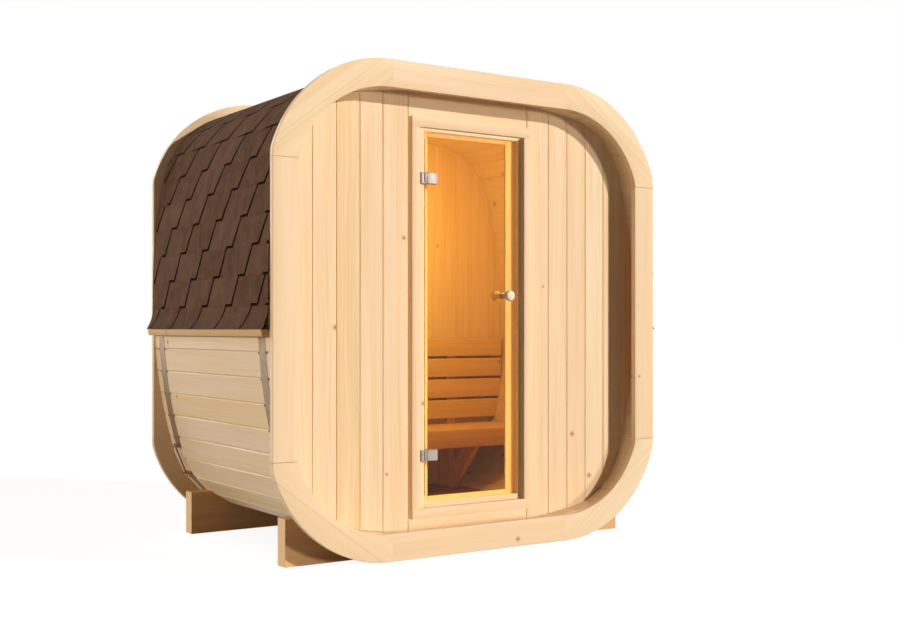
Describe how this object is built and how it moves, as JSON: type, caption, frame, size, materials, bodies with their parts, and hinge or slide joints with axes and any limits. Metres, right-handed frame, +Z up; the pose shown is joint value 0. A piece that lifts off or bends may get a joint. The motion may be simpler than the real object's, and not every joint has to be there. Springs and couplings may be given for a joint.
{
  "type": "cube sauna cabin",
  "caption": "Outdoor sauna cabin: rounded square shell of wooden staves between two ring frames, shingled roof, hinged glass door and a rear bench.",
  "frame": {"origin": "middle of the footprint at ground level, where the rings and feet stand", "axes": "+X to the right seen from the door, +Y to the rear, +Z up; the door faces -Y"},
  "size_m": [2.1048, 1.336, 2.1],
  "materials": {
    "ring_wood": "planed spruce, clear",
    "stave_wood": "planed spruce staves",
    "wall_wood": "planed tongue and groove boards",
    "frame_wood": "planed spruce",
    "floor_wood": "dark stained boards",
    "bearer_wood": "sawn",
    "bench_wood": "planed, rounded edges",
    "foot_wood": "impregnated timber",
    "strap_steel": "galvanised band",
    "batten_wood": "planed batten",
    "roof_wood": "sawn boards",
    "shingle": "bitumen felt with mineral granules",
    "bronze_glass": "bronze tinted, polished",
    "hinge_metal": "satin chrome",
    "knob_wood": "turned, smooth"
  },
  "bodies": {
    "cabin": {"front_ring_rails": "ring_wood", "front_ring_stiles": "ring_wood", "front_ring_corners": "ring_wood", "rear_ring_rails": "ring_wood", "rear_ring_stiles": "ring_wood", "rear_ring_corners": "ring_wood", "shell_floor_staves": "stave_wood", "shell_left_low_staves": "stave_wood", "shell_left_staves": "stave_wood", "shell_right_low_staves": "stave_wood", "shell_right_staves": "stave_wood", "shell_left_high_staves": "stave_wood", "shell_right_high_staves": "stave_wood", "shell_top_staves": "stave_wood", "front_wall_left": "wall_wood", "front_wall_right": "wall_wood", "front_wall_header": "wall_wood", "front_wall_sill_board": "wall_wood", "rear_wall": "wall_wood", "door_jamb_left": "frame_wood", "door_jamb_right": "frame_wood", "door_head": "frame_wood", "door_sill": "frame_wood", "floor_boards": "floor_wood", "floor_bearers": "bearer_wood", "bench_seat": "bench_wood", "bench_apron": "bench_wood", "bench_legs": "bench_wood", "backrest_slats": "bench_wood", "backrest_posts": "bench_wood", "front_foot": "foot_wood", "rear_foot": "foot_wood", "front_strap": "strap_steel", "rear_strap": "strap_steel", "eave_battens": "batten_wood", "roof_boards_left": "roof_wood", "roof_boards_right": "roof_wood", "roof_shingles_left": "shingle", "roof_shingles_right": "shingle", "ridge_shingle": "shingle", "frame_hinge_leaves": "hinge_metal"},
    "door": {"door_glass": "bronze_glass", "door_hinge_leaves": "hinge_metal", "door_knob_outer": "knob_wood", "door_knob_inner": "knob_wood"}
  },
  "joints": [
    {"name": "door_hinge", "type": "hinge", "parent": "cabin", "child": "door", "pos_m": [-0.243, -0.577, 0], "axis": [0, 0, -1], "range_deg": [0, 100]}
  ]
}
